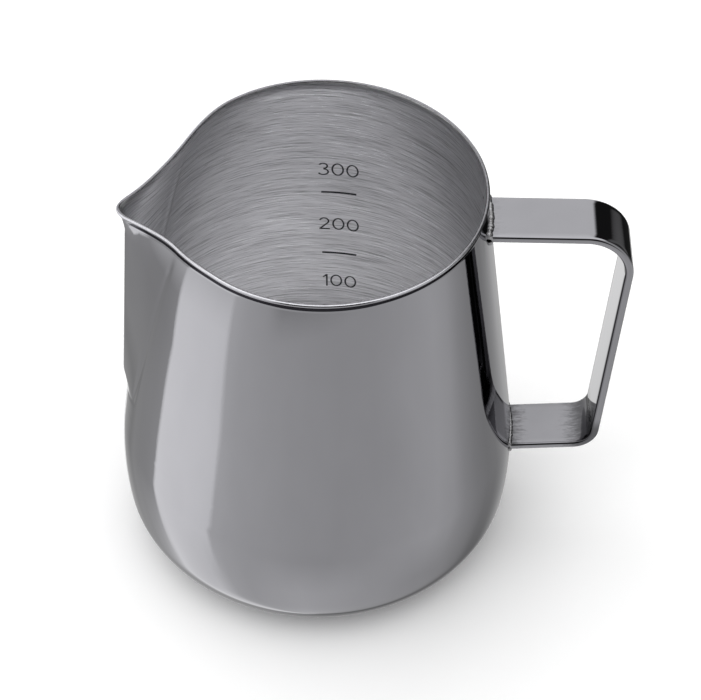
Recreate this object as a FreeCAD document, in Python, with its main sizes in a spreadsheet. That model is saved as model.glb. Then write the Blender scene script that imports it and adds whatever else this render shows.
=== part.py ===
import FreeCAD, Part
import math
import os
import Sketcher
from FreeCAD import Placement, Rotation, Vector

# Milk frothing pitcher, about 350 ml.  Millimetres, Z up.
# Origin: middle of the foot, on the axis of the vessel.  Spout along -X, handle along +X.

os.makedirs("parts", exist_ok=True)
doc = FreeCAD.newDocument("milk_pitcher")

# ---------------------------------------------------------------- driving dimensions
DIMENSIONS = [
    ("height", 95.0, "foot to rim"),
    ("belly_radius", 43.5, "widest outside radius"),
    ("belly_height", 20.5, "height of the widest place"),
    ("belly_arc", 80.0, "radius of the belly seen from the side"),
    ("corner_radius", 13.0, "rounding between the foot and the belly"),
    ("wall_lean", 7.2, "degrees the wall leans in above the belly"),
    ("sheet", 0.8, "thickness of the drawn sheet"),
    ("foot_inner_radius", 27.0, "inside edge of the ring it stands on"),
    ("foot_slope", 2.5, "width of the slope up to the raised bottom"),
    ("foot_rise", 1.0, "height of the raised bottom over the ring"),
    ("strap_width", 12.6, "handle strap, edge to edge"),
    ("strap_sheet", 1.8, "handle strap, face to face"),
    ("strap_edge", 0.6, "rounding of the strap edges"),
    ("strap_top", 87.0, "middle of the upper strap above the foot"),
    ("strap_low", 23.9, "middle of the lower strap where it enters the body"),
    ("strap_start", 33.0, "where the raw strap ends, inside the body line"),
    ("strap_low_start", 40.5, "same for the lower strap"),
    ("grip_reach", 64.9, "axis to the middle of the grip, at its top"),
    ("grip_lean", 4.0, "degrees the grip leans in going down"),
    ("low_rise", 4.3, "degrees the lower strap rises going out"),
    ("upper_bend", 9.6, "middle radius of the upper bend"),
    ("lower_bend", 4.9, "middle radius of the lower bend"),
    ("bead", 1.0, "radius of a weld bead"),
    ("bead_neat", 0.8, "radius of the finer lower beads"),
]

sheet = doc.addObject("Spreadsheet::Sheet", "dims")
for row, (name, value, note) in enumerate(DIMENSIONS, start=1):
    sheet.set("A%d" % row, name)
    sheet.set("B%d" % row, repr(value))
    sheet.set("C%d" % row, note)
    sheet.setAlias("B%d" % row, name)
doc.recompute()


def dim(name):
    return float(sheet.get(name))


# ---------------------------------------------------------------- outside profile
HEIGHT = dim("height")
BELLY = dim("belly_radius")
BELLY_Z = dim("belly_height")
BELLY_ARC = dim("belly_arc")
CORNER = dim("corner_radius")
LEAN = math.radians(dim("wall_lean"))
SHEET = dim("sheet")

belly_centre = BELLY - BELLY_ARC
corner_centre = belly_centre + math.sqrt((BELLY_ARC - CORNER) ** 2 - (BELLY_Z - CORNER) ** 2)
corner_end = BELLY_Z + (CORNER - BELLY_Z) * BELLY_ARC / (BELLY_ARC - CORNER)
cone_start = BELLY_Z + BELLY_ARC * math.sin(LEAN)


def body_radius(z):
    """Outside radius of the round body at height z."""
    if z < corner_end:
        return corner_centre + math.sqrt(max(CORNER ** 2 - (CORNER - z) ** 2, 0.0))
    if z < cone_start:
        return belly_centre + math.sqrt(BELLY_ARC ** 2 - (z - BELLY_Z) ** 2)
    cone_radius = belly_centre + BELLY_ARC * math.cos(LEAN)
    return cone_radius - (z - cone_start) * math.tan(LEAN)


# ---------------------------------------------------------------- pressed spout
RIDGE_LEAN = 0.057           # the ridge comes in this much per mm going up
RIDGE_RADIUS = 42.65         # ridge distance from the axis at RIDGE_Z
RIDGE_Z = 43.4
RIDGE_ROUND = 7.0            # rounding of the ridge, seen from above
TOE_Z = 36.8                 # where the ridge grows out of the body
TOE_LENGTH = 6.0
TIP_FLARE = 1.3              # the pouring tip turns out by this much
TIP_FLARE_DEPTH = 5.0
TIP_HALF_WIDTH = math.radians(6.0)
SHOULDER_PULL = 2.35         # pressing the spout draws the shoulders in
SHOULDER_ANGLE = math.radians(28.0)
SHOULDER_DEPTH = 10.0
LIP_FLARE = 0.4              # small turned-out lip all round
LIP_DEPTH = 1.6
DROOP = 6.6                  # the rim runs down to the pouring tip
DROOP_START = 20.0
DROOP_LENGTH = 23.0


def smoothstep(value):
    value = min(max(value, 0.0), 1.0)
    return value * value * (3.0 - 2.0 * value)


def teardrop(angle, radius, ridge):
    """Circle of the body with tangent flanks running to the rounded ridge."""
    nose = ridge - RIDGE_ROUND
    if ridge - radius < 1e-6:
        return radius
    crease = math.acos((radius - RIDGE_ROUND) / nose)
    nose_end = math.atan2(RIDGE_ROUND * math.sin(crease), nose + RIDGE_ROUND * math.cos(crease))
    if angle > crease:
        return radius
    if angle > nose_end:
        return radius / math.cos(crease - angle)
    return nose * math.cos(angle) + math.sqrt(RIDGE_ROUND ** 2 - (nose * math.sin(angle)) ** 2)


def wall_radius(angle, z, rim_z):
    """Outside radius at an angle from the spout; rim_z is the rim height there."""
    angle = abs(angle)
    radius = body_radius(z)
    straight = RIDGE_RADIUS - RIDGE_LEAN * (z - RIDGE_Z)
    ridge = radius + max(straight - radius, 0.0) * smoothstep((z - TOE_Z) / TOE_LENGTH)
    result = teardrop(angle, radius, ridge)
    if z < TOE_Z:
        return result
    below = rim_z - z
    share = angle / SHOULDER_ANGLE
    shoulder = (share * math.exp(1.0 - share)) ** 2
    result -= SHOULDER_PULL * shoulder * math.exp(-below / SHOULDER_DEPTH)
    tip = max(1.0 - below / TIP_FLARE_DEPTH, 0.0) ** 1.5
    result += TIP_FLARE * tip * math.exp(-(angle / TIP_HALF_WIDTH) ** 2)
    result += LIP_FLARE * max(1.0 - below / LIP_DEPTH, 0.0) ** 2
    return result


def rim_height(angle):
    """Height of the outside rim line at an angle from the spout."""
    level = HEIGHT - SHEET / 2.0
    rim_z = level
    for _ in range(12):
        forward = wall_radius(angle, rim_z, rim_z) * math.cos(angle)
        rim_z = level - DROOP * smoothstep((forward - DROOP_START) / DROOP_LENGTH)
    return rim_z


def wall_point(angle, z, rim_z):
    radius = wall_radius(angle, z, rim_z)
    return Vector(-radius * math.cos(angle), radius * math.sin(angle), z)


def wall_frame(angle, z):
    """Outside point, outward normal and upward direction of the wall."""
    rim_z = rim_height(angle)
    step = 0.01
    turn = 0.0005
    up = wall_point(angle, z + step, rim_z) - wall_point(angle, z - step, rim_z)
    side_a = wall_point(angle - turn, z, rim_height(angle - turn))
    side_b = wall_point(angle + turn, z, rim_height(angle + turn))
    normal = up.cross(side_b - side_a)
    point = wall_point(angle, z, rim_z)
    if normal.dot(Vector(point.x, point.y, 0.0)) < 0.0:
        normal = normal * -1.0
    return point, normal.normalize(), up.normalize()


# ---------------------------------------------------------------- one drawn sheet
def section(angle):
    """One upright cut through the wall: outside going up, over the rim, inside going down."""
    direction = Vector(-math.cos(angle), math.sin(angle), 0.0)
    outside = []
    inside = []
    for step in range(9):
        swing = math.acos(1.0 - corner_end / CORNER) * step / 8.0
        normal = direction * math.sin(swing) - Vector(0.0, 0.0, math.cos(swing))
        centre = direction * corner_centre + Vector(0.0, 0.0, CORNER)
        outside.append(centre + normal * CORNER)
        inside.append(centre + normal * (CORNER - SHEET))
    rim_z = rim_height(angle)
    heights = [15.0, 20.5, 26.0, 31.0, 35.0, 37.0, 38.5, 40.0, 41.5, 43.0, 45.0, 48.0]
    span = rim_z - heights[-1]
    for share in (0.12, 0.25, 0.38, 0.5, 0.6, 0.69, 0.77):
        heights.append(heights[11] + span * share)
    for below in (8.0, 6.2, 5.0, 4.0, 3.0, 2.2, 1.6, 1.1, 0.7, 0.35, 0.0):
        heights.append(rim_z - below)
    for z in heights:
        point, normal, up = wall_frame(angle, z)
        outside.append(point)
        inside.append(point - normal * SHEET)
    middle = (outside[-1] + inside[-1]) * 0.5
    over = []
    for step in range(1, 8):
        swing = math.pi * step / 8.0
        over.append(middle + (normal * math.cos(swing) + up * math.sin(swing)) * (SHEET / 2.0))
    return outside + over + inside[::-1]


def section_angles():
    """Close together on the spout, wider apart round the rest, seam under the handle."""
    half = [1.5 * step for step in range(1, 33)]
    half += [48.0 + 4.0 * step for step in range(1, 33)]
    return [math.radians(value) for value in [-180.0] + [-value for value in half[::-1]] + [0.0] + half]


def even_parameters(points):
    """Lengths along a polyline, used as the parameters of the curve through it."""
    values = [0.0]
    for first, second in zip(points, points[1:]):
        values.append(values[-1] + first.distanceToPoint(second))
    return values


def wall_surface():
    """One smooth sheet through all sections, closed on itself round the axis."""
    angles = section_angles()
    sections = [section(angle) for angle in angles]
    upright = even_parameters(sections[0])
    rows = []
    for angle, points in zip(angles, sections):
        outward = Vector(-math.cos(angle), math.sin(angle), 0.0)
        curve = Part.BSplineCurve()
        curve.interpolate(
            Points=points,
            Parameters=upright,
            InitialTangent=outward,
            FinalTangent=outward * -1.0,
        )
        rows.append(curve)
    round_parameters = angles + [angles[0] + 2.0 * math.pi]
    columns = []
    for number in range(rows[0].NbPoles):
        ring = Part.BSplineCurve()
        poles = [row.getPole(number + 1) for row in rows]
        ring.interpolate(Points=poles, PeriodicFlag=True, Parameters=round_parameters)
        columns.append(ring)
    surface = Part.BSplineSurface()
    surface.buildFromPolesMultsKnots(
        [[column.getPole(number + 1) for column in columns] for number in range(columns[0].NbPoles)],
        columns[0].getMultiplicities(),
        rows[0].getMultiplicities(),
        columns[0].getKnots(),
        rows[0].getKnots(),
        True,
        False,
        3,
        3,
    )
    return surface


def wall_panels():
    """The wall as four quarters in upright bands, so that every face stays small."""
    surface = wall_surface()
    rows = surface.getVKnots()
    bands = rows[:-1:12] + [rows[-1]]
    quarters = [math.radians(value) for value in (-180.0, -90.0, 0.0, 90.0, 180.0)]
    panels = []
    for left, right in zip(quarters, quarters[1:]):
        for low, high in zip(bands, bands[1:]):
            panel = surface.copy()
            panel.segment(left, right, low, high)
            panels.append(panel.toShape())
    return panels


panels = wall_panels()


def level_edges(z):
    """The edges of the wall that lie flat at height z: the outside foot or the inside floor."""
    edges = []
    for edge in Part.Compound(panels).Edges:
        box = edge.BoundBox
        if abs(box.ZMin - z) < 0.01 and abs(box.ZMax - z) < 0.01:
            edges.append(edge)
    return edges


def bottom_faces(z):
    """Flat ring, slope and raised middle of the bottom, starting at height z."""
    foot = dim("foot_inner_radius")
    middle = foot - dim("foot_slope")
    top = z + dim("foot_rise")
    disc = Part.Face(Part.Wire(Part.sortEdges(level_edges(z))[0]))
    hole = Part.Face(Part.Wire(Part.makeCircle(foot, Vector(0.0, 0.0, z))))
    cone = Part.makeCone(foot, middle, top - z, Vector(0.0, 0.0, z))
    slope = [face for face in cone.Faces if face.Surface.TypeId == "Part::GeomCone"]
    raised = Part.Face(Part.Wire(Part.makeCircle(middle, Vector(0.0, 0.0, top))))
    return disc.cut(hole).Faces + slope + [raised]


shell = Part.Shell(panels + bottom_faces(0.0) + bottom_faces(SHEET))
shell.sewShape(0.01)
body_shell = doc.addObject("Part::Feature", "body_shell")
body_shell.Label = "body_shell"
body_shell.Shape = Part.Solid(shell)
body_shell.Placement = Placement()


# ---------------------------------------------------------------- body line, for trimming the handle
SIDE_VIEW = Placement(Vector(0, 0, 0), Rotation(Vector(1, 0, 0), 90))
START = 1
END = 2
CENTRE = 3


def add_sketch(body, name, placement):
    sketch = body.newObject("Sketcher::SketchObject", name)
    sketch.Placement = placement
    return sketch


def join(sketch, kind, first, first_end, second, second_end):
    sketch.addConstraint(Sketcher.Constraint(kind, first, first_end, second, second_end))


def size(sketch, name, expression, *parts):
    """A named dimension of a sketch that follows the sheet."""
    sketch.addConstraint(Sketcher.Constraint(*parts))
    sketch.renameConstraint(sketch.ConstraintCount - 1, name)
    sketch.setExpression("Constraints." + name, expression)


def arc(centre_x, centre_z, radius, start, end):
    circle = Part.Circle(Vector(centre_x, centre_z, 0), Vector(0, 0, 1), radius)
    return Part.ArcOfCircle(circle, math.radians(start), math.radians(end))


def line(x_a, z_a, x_b, z_b):
    return Part.LineSegment(Vector(x_a, z_a, 0), Vector(x_b, z_b, 0))


body_line = doc.addObject("PartDesign::Body", "body_line")
body_line.Label = "body_line"
profile = add_sketch(body_line, "body_profile", SIDE_VIEW)
corner_turn = math.degrees(math.atan2(CORNER - BELLY_Z, corner_centre - belly_centre))
profile.addGeometry(
    [
        line(0.0, 0.0, corner_centre, 0.0),
        arc(corner_centre, CORNER, CORNER, -90.0, corner_turn),
        arc(belly_centre, BELLY_Z, BELLY_ARC, corner_turn, math.degrees(LEAN)),
        line(body_radius(cone_start), cone_start, body_radius(HEIGHT), HEIGHT),
        line(body_radius(HEIGHT), HEIGHT, 0.0, HEIGHT),
        line(0.0, HEIGHT, 0.0, 0.0),
    ],
    False,
)
join(profile, "Tangent", 0, END, 1, START)
join(profile, "Tangent", 1, END, 2, START)
join(profile, "Tangent", 2, END, 3, START)
join(profile, "Coincident", 3, END, 4, START)
join(profile, "Coincident", 4, END, 5, START)
join(profile, "Coincident", 5, END, 0, START)
join(profile, "Coincident", 0, START, -1, START)
profile.addConstraint(Sketcher.Constraint("Horizontal", 0))
profile.addConstraint(Sketcher.Constraint("Horizontal", 4))
profile.addConstraint(Sketcher.Constraint("Vertical", 5))
size(profile, "corner", "dims.corner_radius", "Radius", 1, CORNER)
size(profile, "belly_arc", "dims.belly_arc", "Radius", 2, BELLY_ARC)
size(profile, "belly_up", "dims.belly_height", "DistanceY", -1, START, 2, CENTRE, BELLY_Z)
size(
    profile,
    "belly_in",
    "dims.belly_arc - dims.belly_radius",
    "DistanceX",
    2,
    CENTRE,
    -1,
    START,
    BELLY_ARC - BELLY,
)
size(profile, "tall", "dims.height", "DistanceY", -1, START, 4, END, HEIGHT)
size(profile, "lean", "(90 + dims.wall_lean) * 1 deg", "Angle", 3, math.pi / 2.0 + LEAN)
turned = body_line.newObject("PartDesign::Revolution", "body_turned")
turned.Profile = profile
turned.ReferenceAxis = (profile, ["V_Axis"])
turned.Angle = 360.0


# ---------------------------------------------------------------- handle strap
strap = doc.addObject("PartDesign::Body", "strap")
strap.Label = "strap"
path = add_sketch(strap, "strap_path", SIDE_VIEW)
TOP = dim("strap_top")
REACH = dim("grip_reach")
UPPER_BEND = dim("upper_bend")
LOWER_BEND = dim("lower_bend")
GRIP = math.radians(dim("grip_lean"))
RISE = math.radians(dim("low_rise"))
upper_x = REACH - UPPER_BEND * math.cos(GRIP)
upper_z = TOP - UPPER_BEND
grip_top = upper_z - UPPER_BEND * math.sin(GRIP)
grip_low = 30.0
grip_low_x = REACH - (grip_top - grip_low) * math.tan(GRIP)
lower_x = grip_low_x - LOWER_BEND * math.cos(GRIP)
lower_z = grip_low + LOWER_BEND * math.sin(GRIP)
low_x = lower_x + LOWER_BEND * math.sin(RISE)
low_z = lower_z - LOWER_BEND * math.cos(RISE)
path.addGeometry(
    [
        line(dim("strap_start"), TOP, upper_x, TOP),
        arc(upper_x, upper_z, UPPER_BEND, -dim("grip_lean"), 90.0),
        line(REACH, grip_top, grip_low_x, grip_low),
        arc(lower_x, lower_z, LOWER_BEND, -90.0 + dim("low_rise"), -dim("grip_lean")),
        line(low_x, low_z, dim("strap_low_start"), dim("strap_low")),
    ],
    False,
)
join(path, "Tangent", 0, END, 1, END)
join(path, "Tangent", 1, START, 2, START)
join(path, "Tangent", 2, END, 3, END)
join(path, "Tangent", 3, START, 4, START)
path.addConstraint(Sketcher.Constraint("Horizontal", 0))
size(path, "top", "dims.strap_top", "DistanceY", -1, START, 0, START, TOP)
size(path, "start", "dims.strap_start", "DistanceX", -1, START, 0, START, dim("strap_start"))
size(path, "upper_bend", "dims.upper_bend", "Radius", 1, UPPER_BEND)
size(path, "lower_bend", "dims.lower_bend", "Radius", 3, LOWER_BEND)
size(path, "reach", "dims.grip_reach", "DistanceX", -1, START, 2, START, REACH)
size(path, "low_start", "dims.strap_low_start", "DistanceX", -1, START, 4, END, dim("strap_low_start"))
size(path, "low", "dims.strap_low", "DistanceY", -1, START, 4, END, dim("strap_low"))
size(path, "lean", "(270 - dims.grip_lean) * 1 deg", "Angle", 2, math.radians(270.0) - GRIP)
size(path, "rise", "(180 + dims.low_rise) * 1 deg", "Angle", 4, math.pi + RISE)

HALF_WIDTH = dim("strap_width") / 2.0
HALF_SHEET = dim("strap_sheet") / 2.0
EDGE = dim("strap_edge")
ACROSS = Placement(Vector(dim("strap_start"), 0.0, TOP), Rotation(Vector(1, 1, 1), 120))
outline = add_sketch(strap, "strap_outline", ACROSS)
outline.addGeometry(
    [
        line(EDGE - HALF_WIDTH, -HALF_SHEET, HALF_WIDTH - EDGE, -HALF_SHEET),
        arc(HALF_WIDTH - EDGE, EDGE - HALF_SHEET, EDGE, -90.0, 0.0),
        line(HALF_WIDTH, EDGE - HALF_SHEET, HALF_WIDTH, HALF_SHEET - EDGE),
        arc(HALF_WIDTH - EDGE, HALF_SHEET - EDGE, EDGE, 0.0, 90.0),
        line(HALF_WIDTH - EDGE, HALF_SHEET, EDGE - HALF_WIDTH, HALF_SHEET),
        arc(EDGE - HALF_WIDTH, HALF_SHEET - EDGE, EDGE, 90.0, 180.0),
        line(-HALF_WIDTH, HALF_SHEET - EDGE, -HALF_WIDTH, EDGE - HALF_SHEET),
        arc(EDGE - HALF_WIDTH, EDGE - HALF_SHEET, EDGE, 180.0, 270.0),
    ],
    False,
)
for number in range(8):
    join(outline, "Tangent", number, END, (number + 1) % 8, START)
outline.addConstraint(Sketcher.Constraint("Horizontal", 0))
outline.addConstraint(Sketcher.Constraint("Vertical", 2))
outline.addConstraint(Sketcher.Constraint("Equal", 1, 3))
outline.addConstraint(Sketcher.Constraint("Equal", 1, 5))
size(outline, "edge", "dims.strap_edge", "Radius", 1, EDGE)
size(outline, "right", "dims.strap_width / 2", "DistanceX", -1, START, 2, START, HALF_WIDTH)
size(outline, "left", "dims.strap_width / 2", "DistanceX", 6, START, -1, START, HALF_WIDTH)
size(outline, "over", "dims.strap_sheet / 2", "DistanceY", -1, START, 4, START, HALF_SHEET)
size(outline, "under", "dims.strap_sheet / 2", "DistanceY", 0, START, -1, START, HALF_SHEET)
bent = strap.newObject("PartDesign::AdditivePipe", "strap_bent")
bent.Profile = outline
bent.Spine = path

handle_strap = doc.addObject("Part::Cut", "handle_strap")
handle_strap.Label = "handle_strap"
handle_strap.Base = strap
handle_strap.Tool = body_line


# ---------------------------------------------------------------- weld beads
def weld_bead(name, z, bead):
    """A bead along the corner between the strap and the body at height z."""
    radius = body_radius(z)
    reach = math.degrees(math.asin(HALF_WIDTH / radius))
    ring = doc.addObject("Part::Torus", name + "_ring")
    ring.Radius1 = radius
    ring.setExpression("Radius2", "dims." + bead)
    ring.Angle3 = 2.0 * reach
    ring.Placement = Placement(Vector(0.0, 0.0, z), Rotation(Vector(0, 0, 1), -reach))
    outer = doc.addObject("Part::Cut", name + "_outer")
    outer.Base = ring
    outer.Tool = body_line
    result = doc.addObject("Part::Cut", name)
    result.Label = name
    result.Base = outer
    result.Tool = strap
    return result


def low_strap_middle(radius):
    return dim("strap_low") + (radius - dim("strap_low_start")) * math.tan(RISE)


lower_join = low_strap_middle(BELLY)
lower_half = HALF_SHEET / math.cos(RISE)
NODES = [
    body_shell,
    handle_strap,
    weld_bead("upper_weld_top", TOP + HALF_SHEET, "bead"),
    weld_bead("upper_weld_under", TOP - HALF_SHEET, "bead"),
    weld_bead("lower_weld_top", lower_join + lower_half, "bead_neat"),
    weld_bead("lower_weld_under", lower_join - lower_half, "bead_neat"),
]

doc.recompute()
for thing in doc.Objects:
    if "Invalid" in thing.State or "Error" in thing.State:
        raise RuntimeError("%s is %s" % (thing.Name, thing.State))
for sketch in (profile, path, outline):
    if sketch.solve() != 0:
        raise RuntimeError("%s does not solve" % sketch.Name)
for node in NODES:
    if node.Shape.isNull() or not node.Shape.isValid():
        raise RuntimeError("%s has no valid shape" % node.Label)
    if len(node.Shape.Solids) != 1:
        raise RuntimeError("%s is not one solid" % node.Label)
    node.Shape.exportStep(os.path.join("parts", node.Label + ".step"))
    print(node.Label, round(node.Shape.Volume, 1), node.Shape.BoundBox)
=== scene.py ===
import math

import bpy
import numpy as np
from mathutils import Matrix, Vector


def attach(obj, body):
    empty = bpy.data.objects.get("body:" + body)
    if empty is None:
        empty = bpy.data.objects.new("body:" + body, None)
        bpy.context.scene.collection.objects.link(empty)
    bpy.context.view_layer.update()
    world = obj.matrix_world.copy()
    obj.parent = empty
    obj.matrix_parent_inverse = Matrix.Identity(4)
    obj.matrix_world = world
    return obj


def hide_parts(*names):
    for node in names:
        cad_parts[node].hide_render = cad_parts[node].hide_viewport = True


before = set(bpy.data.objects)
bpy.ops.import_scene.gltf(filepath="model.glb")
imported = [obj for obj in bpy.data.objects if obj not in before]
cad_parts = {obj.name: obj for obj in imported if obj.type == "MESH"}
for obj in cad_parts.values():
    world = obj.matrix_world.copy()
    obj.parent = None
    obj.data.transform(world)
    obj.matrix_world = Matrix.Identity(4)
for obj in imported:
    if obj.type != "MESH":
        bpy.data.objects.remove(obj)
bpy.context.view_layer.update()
MM = 0.001

# ---------------------------------------------------------------- dimensions, mm, as in the CAD
HEIGHT = 95.0
BELLY = 43.5
BELLY_Z = 20.5
BELLY_ARC = 80.0
CORNER = 13.0
LEAN = math.radians(7.2)
SHEET = 0.8
FOOT = 27.0
FOOT_SLOPE = 2.5
FOOT_RISE = 1.0
RIDGE_LEAN = 0.057
RIDGE_RADIUS = 42.65
RIDGE_Z = 43.4
RIDGE_ROUND = 7.0
TOE_Z = 36.8
TOE_LENGTH = 6.0
TIP_FLARE = 1.3
TIP_FLARE_DEPTH = 5.0
TIP_HALF_WIDTH = math.radians(6.0)
SHOULDER_PULL = 2.35
SHOULDER_ANGLE = math.radians(28.0)
SHOULDER_DEPTH = 10.0
LIP_FLARE = 0.4
LIP_DEPTH = 1.6
CREASE_DEPTH = 0.13                   # this groove and the one under the lip are only in this model
CREASE_WIDTH = math.radians(1.4)
CREASE_FULL = math.radians(17.0)
CREASE_START = 1.0                    # it begins this far below the rim and deepens over the next stretch
CREASE_FADE = 5.0
DROOP = 6.6
DROOP_START = 20.0
DROOP_LENGTH = 23.0

STRAP_WIDTH = 12.6
STRAP_SHEET = 1.8
STRAP_EDGE = 0.6
STRAP_TOP = 87.0
STRAP_LOW = 23.9
STRAP_LOW_START = 40.5
GRIP_REACH = 64.9
GRIP_LEAN = math.radians(4.0)
LOW_RISE = math.radians(4.3)
UPPER_BEND = 9.6
LOWER_BEND = 4.9

belly_centre = BELLY - BELLY_ARC
corner_centre = belly_centre + math.sqrt((BELLY_ARC - CORNER) ** 2 - (BELLY_Z - CORNER) ** 2)
corner_end = BELLY_Z + (CORNER - BELLY_Z) * BELLY_ARC / (BELLY_ARC - CORNER)
cone_start = BELLY_Z + BELLY_ARC * math.sin(LEAN)


# ---------------------------------------------------------------- the vessel wall as a formula
def body_radius(z):
    corner = corner_centre + np.sqrt(np.maximum(CORNER**2 - (CORNER - z) ** 2, 0.0))
    belly = belly_centre + np.sqrt(np.maximum(BELLY_ARC**2 - (z - BELLY_Z) ** 2, 0.0))
    cone = belly_centre + BELLY_ARC * math.cos(LEAN) - (z - cone_start) * math.tan(LEAN)
    return np.where(z < corner_end, corner, np.where(z < cone_start, belly, cone))


def smoothstep(value):
    value = np.clip(value, 0.0, 1.0)
    return value * value * (3.0 - 2.0 * value)


def crease_angle(radius, ridge):
    """Where the flank of the spout meets the round body."""
    return np.arccos(np.clip((radius - RIDGE_ROUND) / (ridge - RIDGE_ROUND), -1.0, 1.0))


def teardrop(angle, radius, ridge):
    """Round body and round-nosed ridge, joined by flat flanks, as one outline."""
    nose = ridge - RIDGE_ROUND
    crease = crease_angle(radius, ridge)
    nose_end = np.arctan2(RIDGE_ROUND * np.sin(crease), nose + RIDGE_ROUND * np.cos(crease))
    under = np.maximum(RIDGE_ROUND**2 - (nose * np.sin(angle)) ** 2, 0.0)
    tip = nose * np.cos(angle) + np.sqrt(under)
    flank = radius / np.cos(np.minimum(crease - angle, 1.4))
    shaped = np.where(angle > crease, radius, np.where(angle > nose_end, flank, tip))
    return np.where(ridge - radius < 1e-6, radius, shaped)


def pressed_line(angle, radius, ridge, below):
    """Faint groove that the press leaves along the crease, running out below the rim."""
    crease = crease_angle(radius, ridge)
    strength = CREASE_DEPTH * smoothstep(crease / CREASE_FULL)
    strength = strength * smoothstep((below - CREASE_START) / CREASE_FADE)
    return strength * np.exp(-(((angle - crease) / CREASE_WIDTH) ** 2))


def wall_radius(angle, z, rim_z):
    angle = np.abs(angle)
    radius = body_radius(z)
    straight = RIDGE_RADIUS - RIDGE_LEAN * (z - RIDGE_Z)
    ridge = radius + np.maximum(straight - radius, 0.0) * smoothstep((z - TOE_Z) / TOE_LENGTH)
    result = teardrop(angle, radius, ridge)
    below = rim_z - z
    share = angle / SHOULDER_ANGLE
    shoulder = (share * np.exp(1.0 - share)) ** 2
    result = result - pressed_line(angle, radius, ridge, below)
    shaped = result - SHOULDER_PULL * shoulder * np.exp(-below / SHOULDER_DEPTH)
    tip = np.maximum(1.0 - below / TIP_FLARE_DEPTH, 0.0) ** 1.5
    shaped = shaped + TIP_FLARE * tip * np.exp(-((angle / TIP_HALF_WIDTH) ** 2))
    shaped = shaped + LIP_FLARE * np.maximum(1.0 - below / LIP_DEPTH, 0.0) ** 2
    return np.where(z < TOE_Z, result, shaped)


def rim_height(angle):
    """The rim droops with its forward reach, which depends on its height, so a few rounds settle it."""
    level = HEIGHT - SHEET / 2.0
    rim_z = np.full_like(angle, level)
    for _ in range(12):
        forward = wall_radius(angle, rim_z, rim_z) * np.cos(angle)
        rim_z = level - DROOP * smoothstep((forward - DROOP_START) / DROOP_LENGTH)
    return rim_z


def wall_point(angle, z, rim_z):
    radius = wall_radius(angle, z, rim_z)
    return np.stack([-radius * np.cos(angle), radius * np.sin(angle), z + 0.0 * angle], -1)


Z_STEP = 0.01
ANGLE_STEP = 0.0005


def unit(vectors):
    return vectors / np.linalg.norm(vectors, axis=-1, keepdims=True)


def wall_frame(angle, z):
    """Point, outward normal and upward direction on the wall, from small steps to either side."""
    rim_z = rim_height(angle)
    up = wall_point(angle, z + Z_STEP, rim_z) - wall_point(angle, z - Z_STEP, rim_z)
    before = wall_point(angle - ANGLE_STEP, z, rim_height(angle - ANGLE_STEP))
    after = wall_point(angle + ANGLE_STEP, z, rim_height(angle + ANGLE_STEP))
    normal = np.cross(after - before, up)
    point = wall_point(angle, z, rim_z)
    inward = (normal[..., 0] * point[..., 0] + normal[..., 1] * point[..., 1]) < 0.0
    normal = np.where(inward[..., None], -normal, normal)
    return point, unit(normal), unit(up)


# ---------------------------------------------------------------- mesh helpers
def add_mesh(name, points, faces, materials, picks=None, smooth=True):
    mesh = bpy.data.meshes.new(name)
    mesh.from_pydata([tuple(p) for p in np.asarray(points) * MM], [], faces)
    for material in materials:
        mesh.materials.append(material)
    if picks is not None:
        mesh.polygons.foreach_set("material_index", picks)
    mesh.polygons.foreach_set("use_smooth", [smooth] * len(mesh.polygons))
    mesh.update()
    piece = bpy.data.objects.new(name, mesh)
    bpy.context.scene.collection.objects.link(piece)
    return piece


def grid_faces(rows, columns):
    """Faces of a tube: open along its rows, closed around its columns."""
    faces = []
    for row in range(rows - 1):
        for column in range(columns):
            a = row * columns + column
            b = row * columns + (column + 1) % columns
            faces.append((a, b, b + columns, a + columns))
    return faces


def end_caps(rows, columns):
    """One face over each end of such a tube."""
    last = (rows - 1) * columns
    return [tuple(range(columns))[::-1], tuple(range(last, last + columns))]


# ---------------------------------------------------------------- node helpers
def new_material(name):
    material = bpy.data.materials.new(name)
    material.use_nodes = True
    return material, material.node_tree, material.node_tree.nodes["Principled BSDF"]


def node(tree, kind, inputs=None, **settings):
    made = tree.nodes.new(kind)
    for key, value in settings.items():
        setattr(made, key, value)
    for key, value in (inputs or {}).items():
        if isinstance(value, bpy.types.NodeSocket):
            tree.links.new(value, made.inputs[key])
        else:
            made.inputs[key].default_value = value
    return made


def maths(tree, operation, a, b=0.0, clamp=False):
    return node(tree, "ShaderNodeMath", {0: a, 1: b}, operation=operation, use_clamp=clamp).outputs[0]


def ramp(tree, value, stops, smooth=False):
    made = node(tree, "ShaderNodeValToRGB", {0: value})
    made.color_ramp.interpolation = "EASE" if smooth else "LINEAR"
    elements = made.color_ramp.elements
    while len(elements) > 1:
        elements.remove(elements[-1])
    elements[0].position = stops[0][0]
    elements[0].color = (*stops[0][1], 1.0)
    for position, colour in stops[1:]:
        elements.new(position).color = (*colour, 1.0)
    return made.outputs["Color"]


def grey(value):
    return (value, value, value)


def steel(value):
    """A grey with the faint cool cast of the steel."""
    return (value, value * 0.995, value * 1.055)


def cool(value):
    """The same cast, weaker, for the inside, where it adds up over several bounces."""
    return (value, value * 0.998, value * 1.018)


def noise(tree, vector, scale, detail=2.0, roughness=0.5):
    settings = {"Vector": vector, "Scale": scale, "Detail": detail, "Roughness": roughness}
    return node(tree, "ShaderNodeTexNoise", settings).outputs["Fac"]


def stretched(tree, scale):
    """Object coordinates scaled per axis, in 1/m."""
    place = node(tree, "ShaderNodeTexCoord").outputs["Object"]
    return node(tree, "ShaderNodeMapping", {"Vector": place, "Scale": scale}).outputs["Vector"]


def mixed(tree, share, first, second, blend="MIX"):
    return node(tree, "ShaderNodeMixRGB", {0: share, 1: first, 2: second}, blend_type=blend).outputs[0]


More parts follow.
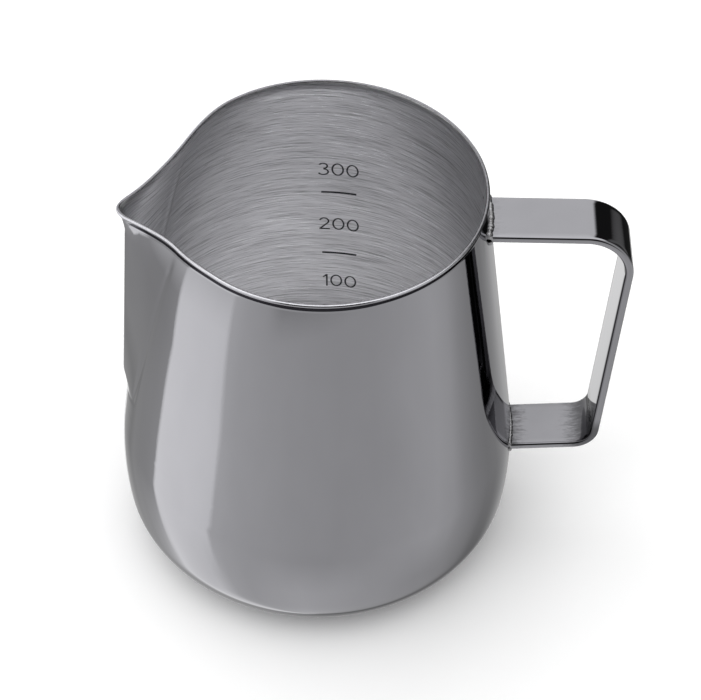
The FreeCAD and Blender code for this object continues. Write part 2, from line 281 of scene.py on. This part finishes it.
def opaque(value):
    return (value, value, value, 1.0)


# ---------------------------------------------------------------- materials
def polished_material(name, low, high):
    """Mirror-polished steel between two greys, with polishing haze and fine swirls."""
    material, tree, shader = new_material(name)
    shader.inputs["Metallic"].default_value = 1.0
    haze = noise(tree, stretched(tree, (60.0, 60.0, 25.0)), 1.0, 3.0)
    tint = ramp(tree, haze, [(0.3, steel(low)), (0.7, steel(high))])
    fine = noise(tree, stretched(tree, (900.0, 900.0, 300.0)), 1.0, 4.0, 0.7)
    rough = ramp(tree, fine, [(0.35, grey(0.022)), (0.75, grey(0.055))])
    tree.links.new(rough, shader.inputs["Roughness"])
    swirl = noise(tree, stretched(tree, (2500.0, 2500.0, 900.0)), 1.0, 2.0)
    bump = node(tree, "ShaderNodeBump", {"Height": swirl, "Strength": 0.02, "Distance": 0.0001})
    tree.links.new(bump.outputs["Normal"], shader.inputs["Normal"])
    tree.links.new(tint, shader.inputs["Base Color"])
    return material, tree, shader, tint


FEATHER = 0.011                       # how far the edge of a heat mark wanders, m
FADE = 0.005                          # a mark fades over this length, m
HEAT_TINT_AND_SHADE_X = 0.0335                      # where the heat tint ends at the upper weld, and on the inner face the painted shade too, m
HEAT_TINT_AND_SHADE_SHIFT = 0.0085                  # and how much further out at the lower one
LOWER_Z = 0.034                       # the strap below this height is its lower part, m
LOWER_FADE = 0.004
BEND_DARK_X = 0.0545                      # the darker patch in the lower bend starts here, m
BEND_DARK_GREY = 0.42


def strap_material(name, low, high, heat_tint_and_shade_grey):
    """Polished strap, darkened beside the body by welding heat tint, where the inner face's copy adds
    painted shade, and darker in the lower bend.
    """
    material, tree, shader, tint = polished_material(name, low, high)
    parts = node(tree, "ShaderNodeTexCoord").outputs["Object"]
    parts = node(tree, "ShaderNodeSeparateXYZ", {0: parts})
    feather = noise(tree, stretched(tree, (420.0, 1500.0, 420.0)), 1.0, 6.0, 0.75)
    spread = maths(tree, "MULTIPLY", maths(tree, "SUBTRACT", feather, 0.5), FEATHER)
    lower = maths(tree, "DIVIDE", maths(tree, "SUBTRACT", LOWER_Z, parts.outputs["Z"]), LOWER_FADE, True)
    weld_x = maths(tree, "ADD", maths(tree, "MULTIPLY", lower, HEAT_TINT_AND_SHADE_SHIFT), HEAT_TINT_AND_SHADE_X)
    past = maths(tree, "ADD", maths(tree, "SUBTRACT", parts.outputs["X"], weld_x), spread)
    # Darker beside the body: heat tint from the welds, and on the inner face's copy, with its lower grey,
    # painted shade as well.
    heat_tint_and_shade = ramp(tree, maths(tree, "DIVIDE", past, FADE, True), [(0.0, grey(heat_tint_and_shade_grey)), (1.0, grey(1.0))], True)
    # The strap is darker in the lower bend.
    into_bend = maths(tree, "ADD", maths(tree, "SUBTRACT", parts.outputs["X"], BEND_DARK_X), spread)
    bend_dark = maths(tree, "MULTIPLY", maths(tree, "DIVIDE", into_bend, FADE, True), lower)
    bend_darkened = ramp(tree, bend_dark, [(0.0, grey(1.0)), (1.0, grey(BEND_DARK_GREY))], True)
    tinted_and_darkened = mixed(tree, 1.0, mixed(tree, 1.0, tint, heat_tint_and_shade, "MULTIPLY"), bend_darkened, "MULTIPLY")
    tree.links.new(tinted_and_darkened, shader.inputs["Base Color"])
    return material


def edge_material(name, low, high, rough_low, rough_high):
    """Cut or rolled edge of the sheet, finely grained; its lighter copy is painted highlight and its darker
    copy painted shade on the rim.
    """
    material, tree, shader = new_material(name)
    shader.inputs["Metallic"].default_value = 1.0
    fine = noise(tree, stretched(tree, (1500.0, 1500.0, 1500.0)), 1.0, 2.0)
    tree.links.new(ramp(tree, fine, [(0.3, steel(low)), (0.7, steel(high))]), shader.inputs["Base Color"])
    rough = ramp(tree, fine, [(0.3, grey(rough_low)), (0.7, grey(rough_high))])
    tree.links.new(rough, shader.inputs["Roughness"])
    return material


def brushed_material():
    """Inside wall: brush lines of three lengths and slants, lighter on their crests."""
    material, tree, shader = new_material("brushed_steel")
    shader.inputs["Metallic"].default_value = 1.0
    place = node(tree, "ShaderNodeTexCoord").outputs["Object"]
    parts = node(tree, "ShaderNodeSeparateXYZ", {0: place})
    flat = node(tree, "ShaderNodeCombineXYZ", {"X": parts.outputs["X"], "Y": parts.outputs["Y"]})
    around = node(tree, "ShaderNodeVectorMath", {0: flat.outputs[0]}, operation="NORMALIZE").outputs[0]
    around = node(tree, "ShaderNodeSeparateXYZ", {0: around})

    def streaks(turns, lines, tilt, detail):
        height = maths(tree, "MULTIPLY", parts.outputs["Z"], lines)
        lean = maths(tree, "MULTIPLY", around.outputs["X"], tilt)
        height = maths(tree, "ADD", height, lean)
        east = maths(tree, "MULTIPLY", around.outputs["X"], turns)
        north = maths(tree, "MULTIPLY", around.outputs["Y"], turns)
        vector = node(tree, "ShaderNodeCombineXYZ", {"X": east, "Y": north, "Z": height}).outputs[0]
        return noise(tree, vector, 1.0, detail, 0.6)

    long_lines = streaks(2.2, 2600.0, 5.0, 4.0)
    short_lines = streaks(7.0, 4200.0, -14.0, 3.0)
    crossing = streaks(5.0, 2300.0, 26.0, 2.0)
    long_share = maths(tree, "MULTIPLY", long_lines, 0.55)
    both = maths(tree, "ADD", long_share, maths(tree, "MULTIPLY", short_lines, 0.3))
    both = maths(tree, "ADD", both, maths(tree, "MULTIPLY", crossing, 0.15))
    tint = ramp(tree, both, [(0.37, cool(0.40)), (0.49, cool(0.74)), (0.60, cool(0.89))])
    tree.links.new(tint, shader.inputs["Base Color"])
    rough = ramp(tree, both, [(0.38, grey(0.42)), (0.62, grey(0.26))])
    tree.links.new(rough, shader.inputs["Roughness"])
    shader.inputs["Anisotropic"].default_value = 0.75
    tangent = node(tree, "ShaderNodeTangent", direction_type="RADIAL", axis="Z")
    tree.links.new(tangent.outputs[0], shader.inputs["Tangent"])
    bump = node(tree, "ShaderNodeBump", {"Height": both, "Strength": 0.35, "Distance": 0.00012})
    tree.links.new(bump.outputs["Normal"], shader.inputs["Normal"])
    return material


def weld_material():
    material, tree, shader = new_material("weld_metal")
    shader.inputs["Metallic"].default_value = 1.0
    grain = noise(tree, stretched(tree, (1800.0, 1800.0, 1800.0)), 1.0, 4.0, 0.7)
    greys = [(0.3, (0.16, 0.155, 0.155)), (0.6, (0.36, 0.36, 0.37)), (0.8, (0.5, 0.5, 0.52))]
    tint = ramp(tree, grain, greys)
    tree.links.new(tint, shader.inputs["Base Color"])
    rough = ramp(tree, grain, [(0.3, grey(0.42)), (0.7, grey(0.22))])
    tree.links.new(rough, shader.inputs["Roughness"])
    bump = node(tree, "ShaderNodeBump", {"Height": grain, "Strength": 0.5, "Distance": 0.0002})
    tree.links.new(bump.outputs["Normal"], shader.inputs["Normal"])
    return material


def mark_material():
    material, tree, shader = new_material("laser_mark")
    grain = noise(tree, stretched(tree, (900.0, 900.0, 2600.0)), 1.0, 3.0)
    tint = ramp(tree, grain, [(0.35, (0.035, 0.035, 0.04)), (0.7, (0.10, 0.10, 0.11))])
    tree.links.new(tint, shader.inputs["Base Color"])
    shader.inputs["Metallic"].default_value = 0.4
    shader.inputs["Roughness"].default_value = 0.55
    return material


POLISHED = polished_material("polished_steel", low=0.252, high=0.272)[0]
STRAP = strap_material("strap_steel", low=0.250, high=0.270, heat_tint_and_shade_grey=0.80)
# The inner face's copy is darker all over and darker beside the body: painted shade where the grip faces the
# body.
STRAP_INNER_PAINTED_SHADE = strap_material("strap_inner_painted_shade_steel", low=0.175, high=0.200, heat_tint_and_shade_grey=0.30)
# Two copies of one steel on the rim: the lighter is painted highlight on its outer top, the darker painted
# shade on its inner side.
RIM_PAINTED_HIGHLIGHT = edge_material("rim_painted_highlight_steel", low=0.50, high=0.60, rough_low=0.10, rough_high=0.18)
RIM_INNER_PAINTED_SHADE = edge_material("rim_inner_painted_shade_steel", low=0.16, high=0.22, rough_low=0.15, rough_high=0.25)
BRUSHED = brushed_material()
WELD = weld_material()
MARK = mark_material()


# ---------------------------------------------------------------- body shell
GROOVE_TOP = 0.18                     # fine groove that the rolling leaves under the lip, mm
GROOVE_WIDTH = 0.9
GROOVE_DEPTH = 0.60
GROOVE_SIDE = 0.06
GROOVE_START = math.radians(3.0)      # it runs out at the tip of the spout
GROOVE_SPREAD = math.radians(8.0)
BODY_MATERIALS = [POLISHED, RIM_PAINTED_HIGHLIGHT, BRUSHED, RIM_INNER_PAINTED_SHADE]
RIM_PICKS = [0] * 2 + [1] * 4 + [3] * 6   # which of them lies over the rim, from the outside in: the lighter rim copy on the outer top as painted highlight, the darker on the inner side as painted shade
INSIDE_PICK = 2
BOTTOM_RADII = (0.01, 8.0, 16.0, 22.0, 24.0, 24.5, 24.9, 25.3, 25.75, 26.2, 26.6, FOOT, 27.5, 28.6)
CORNER_STEPS = 25
LOW_WALL = np.arange(corner_end + 0.8, 36.5, 0.8)      # heights of level rows, mm
TOE_WALL = np.arange(36.8, 46.1, 0.4)
LEVEL_TOP = 46.0                      # from here the rows lean over to follow the drooping rim
NEAR_RIM = 8.0                        # rows this close below the rim run along it
FINE_RIM = 2.4                        # and are finer within this distance


def lip_groove(angle, below):
    """Depth of the groove under the lip, with steep sides."""
    into = np.minimum(below - GROOVE_TOP, GROOVE_TOP + GROOVE_WIDTH - below) / GROOVE_SIDE
    run = smoothstep((np.abs(angle) - GROOVE_START) / GROOVE_SPREAD)
    return GROOVE_DEPTH * np.clip(into, 0.0, 1.0) * run


def body_piece():
    """Rows of points from the middle of the bottom, up the outside, over the rim and down the inside."""
    near = np.radians(np.arange(-60.0, 60.0, 0.5))
    far = np.radians(np.arange(60.0, 300.0, 1.25))
    angles = np.concatenate([near, far])
    angles = np.where(angles > math.pi, angles - 2.0 * math.pi, angles)
    direction = np.stack([-np.cos(angles), np.sin(angles), 0.0 * angles], -1)
    upward = np.array([0.0, 0.0, 1.0])
    outside = []
    inside = []
    for radius in BOTTOM_RADII:
        rise = FOOT_RISE * float(smoothstep((FOOT - radius) / FOOT_SLOPE))
        outside.append(direction * radius + upward * rise)
        inside.append(direction * radius + upward * (rise + SHEET))
    turn = math.acos(1.0 - corner_end / CORNER)
    for step in range(CORNER_STEPS):
        swing = turn * step / (CORNER_STEPS - 1.0)
        normal = direction * math.sin(swing) - upward * math.cos(swing)
        centre = direction * corner_centre + upward * CORNER
        outside.append(centre + normal * CORNER)
        inside.append(centre + normal * (CORNER - SHEET))
    rim_z = rim_height(angles)
    levels = [np.full_like(angles, z) for z in (*LOW_WALL, *TOE_WALL)]
    for share in np.arange(0.03, 1.0, 0.03):
        levels.append(LEVEL_TOP + (rim_z - NEAR_RIM - LEVEL_TOP) * share)
    levels += [rim_z - below for below in np.arange(NEAR_RIM, FINE_RIM, -0.4)]
    levels += [rim_z - below for below in np.arange(FINE_RIM, GROOVE_TOP + GROOVE_WIDTH + 0.05, -0.1)]
    groove_start = len(outside) + len(levels)
    floor_steps = np.linspace(GROOVE_TOP + GROOVE_WIDTH - GROOVE_SIDE, GROOVE_TOP + GROOVE_SIDE, 5)
    levels += [rim_z - below for below in (GROOVE_TOP + GROOVE_WIDTH, *floor_steps, GROOVE_TOP)]
    groove_end = len(outside) + len(levels) - 1
    levels += [rim_z - below for below in np.linspace(GROOVE_TOP, 0.0, 4)[1:]]
    for z in levels:
        point, normal, up = wall_frame(angles, z)
        outside.append(point - normal * lip_groove(angles, rim_z - z)[:, None])
        inside.append(point - normal * SHEET)
    middle = (outside[-1] + inside[-1]) * 0.5
    over = []
    for step in range(1, 12):
        swing = math.pi * step / 12.0
        over.append(middle + (normal * math.cos(swing) + up * math.sin(swing)) * (SHEET / 2.0))
    rows = outside + over + inside[::-1]
    columns = len(angles)
    faces = grid_faces(len(rows), columns)
    first_rim = len(outside) - 1
    last_rim = first_rim + len(over) + 1
    row_picks = [0] * first_rim + RIM_PICKS[: last_rim - first_rim]
    row_picks += [INSIDE_PICK] * (len(rows) - 1 - last_rim)
    picks = np.repeat(row_picks, columns)
    piece = add_mesh("body_shell_sheet", np.concatenate(rows), faces, BODY_MATERIALS, picks)
    smooth = np.ones(len(faces), bool)      # the groove keeps its sharp edges
    smooth[groove_start * columns : groove_end * columns] = False
    piece.data.polygons.foreach_set("use_smooth", smooth)
    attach(piece, "root")
    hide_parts("body_shell")
    return piece


# ---------------------------------------------------------------- handle strap
def strap_path():
    """Points and outward directions along the middle of the strap, in the X-Z plane."""
    upper_x = GRIP_REACH - UPPER_BEND * math.cos(GRIP_LEAN)
    upper_z = STRAP_TOP - UPPER_BEND
    grip_top = upper_z - UPPER_BEND * math.sin(GRIP_LEAN)
    path = []
    for x in np.linspace(34.0, upper_x, 24)[:-1]:
        path.append((x, STRAP_TOP, math.pi / 2.0))
    for swing in np.linspace(math.pi / 2.0, -GRIP_LEAN, 60):
        path.append((upper_x + UPPER_BEND * math.cos(swing), upper_z + UPPER_BEND * math.sin(swing), swing))
    # the lower bend touches both the grip line and the line of the lower strap
    outer_turn = -GRIP_LEAN
    lower_turn = LOW_RISE - math.pi / 2.0
    grip = Vector((math.cos(outer_turn), math.sin(outer_turn)))
    low = Vector((math.cos(lower_turn), math.sin(lower_turn)))
    grip_level = grip.dot(Vector((GRIP_REACH, grip_top))) - LOWER_BEND
    low_level = low.dot(Vector((STRAP_LOW_START, STRAP_LOW))) - LOWER_BEND
    share = grip.x * low.y - grip.y * low.x
    lower_x = (grip_level * low.y - low_level * grip.y) / share
    lower_z = (low_level * grip.x - grip_level * low.x) / share
    end_x = lower_x + LOWER_BEND * grip.x
    end_z = lower_z + LOWER_BEND * grip.y
    for share in np.linspace(0.0, 1.0, 40)[1:-1]:
        x = GRIP_REACH + (end_x - GRIP_REACH) * share
        path.append((x, grip_top + (end_z - grip_top) * share, outer_turn))
    for swing in np.linspace(outer_turn, lower_turn, 44):
        path.append((lower_x + LOWER_BEND * math.cos(swing), lower_z + LOWER_BEND * math.sin(swing), swing))
    start_x = path[-1][0]
    start_z = path[-1][1]
    for share in np.linspace(0.0, 1.0, 20)[1:]:
        x = start_x + (STRAP_LOW_START + 0.6 - start_x) * share
        path.append((x, start_z + (x - start_x) * math.tan(LOW_RISE), lower_turn))
    return path


def strap_section():
    """Rounded rectangle, width along the first axis, thickness along the second."""
    points = []
    half_width = STRAP_WIDTH / 2.0 - STRAP_EDGE
    half_sheet = STRAP_SHEET / 2.0 - STRAP_EDGE
    for corner in range(4):
        centre_a = half_width if corner in (0, 3) else -half_width
        centre_b = half_sheet if corner < 2 else -half_sheet
        for step in range(9):
            turn = (corner + step / 8.0) * math.pi / 2.0
            points.append((centre_a + STRAP_EDGE * math.cos(turn), centre_b + STRAP_EDGE * math.sin(turn)))
        if corner in (0, 2):
            sign = 1.0 if corner == 0 else -1.0
            for share in np.linspace(1.0, -1.0, 12)[1:-1]:
                points.append((sign * half_width * share, sign * STRAP_SHEET / 2.0))
    return points


STRAP_SUNK = 0.25                     # the strap's ends reach this far into the wall, mm


def on_body(point, depth):
    """Moves a point along X onto the body, a little inside its surface."""
    radius = float(body_radius(np.array(point[2])))
    return (math.sqrt(radius**2 - point[1] ** 2) - depth, point[1], point[2])


def strap_piece():
    section = strap_section()
    path = strap_path()
    points = []
    for number, (x, z, turn) in enumerate(path):
        for across, off in section:
            point = (x + off * math.cos(turn), -across, z + off * math.sin(turn))
            if number in (0, len(path) - 1):
                point = on_body(point, STRAP_SUNK)
            points.append(point)
    faces = grid_faces(len(path), len(section)) + end_caps(len(path), len(section))
    sides = [off for across, off in section]
    inner = [1 if off + after < -1.5 * STRAP_EDGE else 0 for off, after in zip(sides, sides[1:] + sides[:1])]
    picks = inner * (len(path) - 1) + [0, 0]
    piece = add_mesh("handle_strap_bent", points, faces, [STRAP, STRAP_INNER_PAINTED_SHADE], picks)
    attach(piece, "root")
    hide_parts("handle_strap")
    return piece


# ---------------------------------------------------------------- weld beads
BEAD_INSET = 0.3                      # from the strap's edge to where the bead turns down, mm
BEAD_TURN = 0.55                      # radius of that turn
BEAD_TURN_LENGTH = 0.9
BEAD_DROP = 1.2                       # how far it runs down the edge, in half gaps
BEAD_STEPS = 161
BEAD_SIDES = 14


def bead_line(middle_z, half_gap, side):
    """Middle of a bead across the strap and down its edges, as y and z."""
    reach = STRAP_WIDTH / 2.0 - BEAD_INSET
    line = []
    for share in np.linspace(-1.0, 1.0, BEAD_STEPS):
        along = share * (reach + half_gap * BEAD_DROP)
        if abs(along) <= reach:
            line.append((along, middle_z + side * half_gap))
            continue
        drop = min((abs(along) - reach), half_gap * BEAD_DROP)
        turn = min(drop / BEAD_TURN_LENGTH, 1.0) * math.pi / 2.0
        y = math.copysign(reach + BEAD_TURN * math.sin(turn), along)
        down = BEAD_TURN * (1.0 - math.cos(turn))
        line.append((y, middle_z + side * (half_gap - down - max(drop - BEAD_TURN_LENGTH, 0.0))))
    return line


def bead_piece(name, cad_node, middle_z, half_gap, upper, size, ripples, seed):
    """Rippled bead over or under a strap, turning down its edges."""
    line = bead_line(middle_z, half_gap, 1.0 if upper else -1.0)
    points = []
    for number, (y, z) in enumerate(line):
        phase = number / (len(line) - 1) * ripples
        scallop = 0.80 + 0.20 * math.sqrt(abs(math.sin(math.pi * phase)))
        wobble = 1.0 + 0.10 * math.sin(1.7 * phase + seed) + 0.06 * math.sin(4.1 * phase + 2.0 * seed)
        radius = size * scallop * wobble
        body = float(body_radius(np.array(z)))
        x = math.sqrt(max(body**2 - y**2, 1.0))
        for step in range(BEAD_SIDES):
            turn = 2.0 * math.pi * step / BEAD_SIDES
            points.append((x + radius * math.cos(turn), y, z + radius * math.sin(turn)))
    faces = grid_faces(len(line), BEAD_SIDES) + end_caps(len(line), BEAD_SIDES)
    piece = add_mesh(name, points, faces, [WELD])
    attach(piece, "root")
    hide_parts(cad_node)
    return piece


# ---------------------------------------------------------------- filling marks inside
MARK_ANGLE = math.radians(84.2)
DIGIT_HEIGHT = 4.1
STROKE = 0.40
LINE_STROKE = 0.6
DIGIT_GAP = 0.5
HALF_LINE = 4.0
MARK_PROUD = 0.03                     # the marks lie this far inside the wall's inner face, mm


def stroke_mesh(line, closed, width):
    """Left and right edge of a ribbon along a flat polyline."""
    line = [Vector(p) for p in line]
    left = []
    right = []
    count = len(line)
    for number, point in enumerate(line):
        before = line[(number - 1) % count] if closed or number > 0 else point
        after = line[(number + 1) % count] if closed or number < count - 1 else point
        along = (after - before).normalized()
        across = Vector((-along.y, along.x)) * width / 2.0
        left.append(point + across)
        right.append(point - across)
    return left, right


def arc_line(cx, cz, rx, rz, start, end, count=28):
    turns = np.radians(np.linspace(start, end, count))
    return [(cx + rx * math.cos(turn), cz + rz * math.sin(turn)) for turn in turns]


def digit(kind):
    """Strokes of a digit: (points, closed), and its width."""
    tall = DIGIT_HEIGHT
    edge = STROKE / 2.0
    if kind == "0":
        ring = arc_line(1.42, tall / 2.0, 1.42 - edge, tall / 2.0 - edge, 0.0, 354.0, 60)
        return [(ring, True)], 2.84
    if kind == "1":
        flag = [(0.1, tall * 0.76), (0.95, tall - 0.05)]
        return [(flag, False), ([(0.95, tall), (0.95, 0.0)], False)], 1.25
    if kind == "2":
        top = arc_line(1.15, tall * 0.70, 1.0, tall * 0.30 - edge, 165.0, -38.0)
        return [(top + [(0.15, edge)], False), ([(0.05, edge), (2.45, edge)], False)], 2.5
    upper = arc_line(1.05, tall * 0.745, 0.93, tall * 0.255 - edge, 155.0, -88.0)
    lower = arc_line(1.05, tall * 0.275, 1.12, tall * 0.275 - edge, 88.0, -155.0)
    return [(upper, False), (lower, False)], 2.4


def mark_piece(name, strokes, width):
    points = []
    faces = []
    for line, closed, offset, level in strokes:
        left, right = stroke_mesh(line, closed, width)
        first = len(points)
        for a, b in zip(left, right):
            for flat in (a, b):
                z = level + flat.y
                radius = float(body_radius(np.array(z))) - SHEET / math.cos(LEAN) - MARK_PROUD
                angle = MARK_ANGLE - (offset + flat.x) / radius
                points.append((radius * math.cos(angle), radius * math.sin(angle), z))
        count = len(left)
        for number in range(count if closed else count - 1):
            a = first + 2 * number
            b = first + 2 * ((number + 1) % count)
            faces.append((a, a + 1, b + 1, b))
    piece = add_mesh(name, points, faces, [MARK])
    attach(piece, "root")
    return piece


def number_strokes(text, level):
    widths = [digit(kind)[1] for kind in text]
    total = sum(widths) + DIGIT_GAP * (len(text) - 1)
    offset = -total / 2.0
    strokes = []
    for kind, width in zip(text, widths):
        for line, closed in digit(kind)[0]:
            strokes.append((line, closed, offset, level))
        offset += width + DIGIT_GAP
    return strokes


def level_strokes(level):
    return [([(x, 0.0) for x in np.linspace(-HALF_LINE, HALF_LINE, 24)], False, 0.0, level)]


# ---------------------------------------------------------------- light, floor and camera
# Radiance of the studio by angle about Z, in degrees from +X, in three layers of height. The floor
# is left out of reflections, so the lower layers stand in for it in the polished steel.
LOW_LIGHT = [
    (-180, 1.80), (-158, 1.76), (-152, 1.72), (-149.5, 1.20), (-141, 1.10), (-128, 1.03), (-108, 0.94),
    (-80, 0.85), (-60, 0.87), (-35, 0.97), (-18, 1.00), (-6, 0.90), (4, 0.70), (15, 0.56), (27, 0.45),
    (38, 0.42), (50, 0.50), (62, 0.60), (74, 0.55), (86, 0.40), (98, 0.50), (102, 0.62), (105, 1.20),
    (109, 1.20), (113, 0.44), (132, 0.34), (139, 0.47), (148, 0.52), (158, 0.60), (166, 0.70),
    (168, 1.78), (180, 1.80),
]
DEEP_LIGHT = [
    (-180, 1.62), (-160, 1.52), (-146, 1.10), (-132, 1.04), (-117, 1.10), (-100, 1.13), (-86, 1.07),
    (-70, 1.00), (-55, 0.93), (-40, 0.86), (-25, 0.78), (-12, 0.73), (2, 0.65), (15, 0.50), (28, 0.31),
    (41, 0.24), (53, 0.30), (66, 0.36), (80, 0.38), (95, 0.42), (108, 0.50), (132, 0.53), (146, 0.64),
    (158, 0.90), (165, 1.20), (171, 1.70), (180, 1.62),
]
HIGH_LIGHT = [
    (-180, 1.40), (-150, 1.20), (-125, 0.90), (-112, 0.05), (-62, 0.05), (-48, 0.80), (-20, 0.70),
    (0, 0.30), (24, 0.06), (43, 0.03), (45, 0.22), (47, 0.22), (49, 0.02), (63, 0.02), (69, 1.40),
    (110, 1.50), (150, 1.20), (180, 1.40),
]
FLAG_TURN = 0.654                     # a narrow black flag beside the handle, in turns
FLAG_RATE = 36.0
FLAG_EDGE = 3.0
FLAG_Z = -0.625
CROWN_LIGHT = 0.88
SEEN_LIGHT = 0.50
BLACK = 0.01
STUDIO_STRENGTH = 2.0


def fade(tree, value, start, rate):
    """0 to 1 as a value passes the start; a negative rate fades the other way."""
    return maths(tree, "MULTIPLY", maths(tree, "SUBTRACT", value, start), rate, True)


def around_ramp(tree, turn, stops, smooth=False):
    """Ramp over a full turn; a stop's value is halved, and the world's strength doubles it again."""
    stops = [((angle + 180.0) / 360.0, grey(value / STUDIO_STRENGTH)) for angle, value in stops]
    return ramp(tree, turn, stops, smooth)


def studio_world():
    """Pale studio whose light changes with direction: soft and bright to the left, dark flags beside it."""
    world = bpy.data.worlds.new("studio")
    bpy.context.scene.world = world
    world.use_nodes = True
    tree = world.node_tree
    tree.nodes.clear()
    direction = node(tree, "ShaderNodeTexCoord").outputs["Generated"]
    parts = node(tree, "ShaderNodeSeparateXYZ", {0: direction})
    height = parts.outputs["Z"]
    turn = maths(tree, "ARCTAN2", parts.outputs["Y"], parts.outputs["X"])
    turn = maths(tree, "ADD", maths(tree, "DIVIDE", turn, 2.0 * math.pi), 0.5)

    # the edges of the low lights lean a little
    slant = maths(tree, "DIVIDE", maths(tree, "ADD", height, 0.63), 0.06, True)
    slant = maths(tree, "MULTIPLY", slant, 0.015)
    leaning = maths(tree, "ADD", maths(tree, "SUBTRACT", turn, slant), 0.004)

    low = around_ramp(tree, leaning, LOW_LIGHT)
    deep = around_ramp(tree, turn, DEEP_LIGHT)
    high = around_ramp(tree, turn, HIGH_LIGHT, smooth=True)
    level = mixed(tree, fade(tree, height, -0.66, -6.0), low, deep)
    aside = maths(tree, "ABSOLUTE", maths(tree, "SUBTRACT", turn, FLAG_TURN))
    flag = maths(tree, "SUBTRACT", 1.0, maths(tree, "MULTIPLY", aside, FLAG_RATE), True)
    flag = maths(tree, "MULTIPLY", flag, FLAG_EDGE, True)
    flag = maths(tree, "MULTIPLY", flag, fade(tree, height, FLAG_Z, 20.0))
    level = mixed(tree, flag, level, opaque(BLACK))
    level = mixed(tree, fade(tree, height, -0.49, 6.0), level, high)
    level = mixed(tree, fade(tree, height, 0.68, 10.0), level, opaque(CROWN_LIGHT))
    seen = node(tree, "ShaderNodeLightPath").outputs["Is Camera Ray"]
    level = mixed(tree, seen, level, opaque(SEEN_LIGHT))
    background = node(tree, "ShaderNodeBackground", {"Color": level, "Strength": STUDIO_STRENGTH})
    output = node(tree, "ShaderNodeOutputWorld")
    tree.links.new(background.outputs[0], output.inputs[0])


FLOOR_HALF = 4000.0                   # mm
FLOOR_GLOW = 0.06


def floor_piece():
    material, tree, shader = new_material("pale_floor")
    paper = noise(tree, stretched(tree, (300.0, 300.0, 300.0)), 1.0, 2.0)
    tint = ramp(tree, paper, [(0.3, grey(0.945)), (0.7, grey(0.955))])
    tree.links.new(tint, shader.inputs["Base Color"])
    shader.inputs["Roughness"].default_value = 0.9
    shader.inputs["Specular IOR Level"].default_value = 0.1
    shader.inputs["Emission Color"].default_value = (1.0, 1.0, 1.0, 1.0)
    shader.inputs["Emission Strength"].default_value = FLOOR_GLOW
    points = [(x * FLOOR_HALF, y * FLOOR_HALF, 0.0) for x, y in ((-1, -1), (1, -1), (1, 1), (-1, 1))]
    floor = add_mesh("studio_floor", points, [(0, 1, 2, 3)], [material], smooth=False)
    floor.visible_glossy = False


CAMERA_PLACE = Vector((0.00714, -0.38323, 0.43675))   # m
CAMERA_RISE = math.radians(45.43)
CAMERA_ROLL = math.radians(1.03)
CAMERA_LENS = 128.4


def studio_camera():
    roll = CAMERA_ROLL
    ahead = Vector((0.0, math.cos(CAMERA_RISE), -math.sin(CAMERA_RISE)))
    right = ahead.cross(Vector((0.0, 0.0, 1.0))).normalized()
    above = right.cross(ahead)
    tilted = right * math.cos(roll) + above * math.sin(roll)
    above = above * math.cos(roll) - right * math.sin(roll)
    camera = bpy.data.objects.new("studio_camera", bpy.data.cameras.new("studio_camera"))
    camera.data.sensor_width = 36.0
    camera.data.lens = CAMERA_LENS
    camera.data.clip_start = 0.01
    camera.data.clip_end = 20.0
    turned = Matrix((tilted, above, -ahead)).transposed().to_4x4()
    camera.matrix_world = Matrix.Translation(CAMERA_PLACE) @ turned
    bpy.context.scene.collection.objects.link(camera)
    bpy.context.scene.camera = camera
    bpy.context.scene.view_settings.view_transform = "Standard"
    bpy.context.scene.view_settings.look = "None"


body_piece()
strap_piece()
low_middle = STRAP_LOW + (BELLY - STRAP_LOW_START) * math.tan(LOW_RISE)
bead_piece("upper_bead_top", "upper_weld_top", STRAP_TOP, STRAP_SHEET / 2.0, True, 0.82, 17.0, 0.3)
bead_piece("upper_bead_under", "upper_weld_under", STRAP_TOP, STRAP_SHEET / 2.0, False, 0.75, 18.0, 1.9)
bead_piece("lower_bead_top", "lower_weld_top", low_middle, STRAP_SHEET / 2.0, True, 0.55, 26.0, 3.1)
bead_piece("lower_bead_under", "lower_weld_under", low_middle, STRAP_SHEET / 2.0, False, 0.55, 24.0, 4.7)
for text, number_z, line_z in (("300", 65.2, 59.5), ("200", 46.6, 38.3), ("100", 26.2, 19.5)):
    mark_piece("mark_" + text, number_strokes(text, number_z), STROKE)
    mark_piece("mark_" + text + "_line", level_strokes(line_z), LINE_STROKE)
floor_piece()
studio_world()
studio_camera()
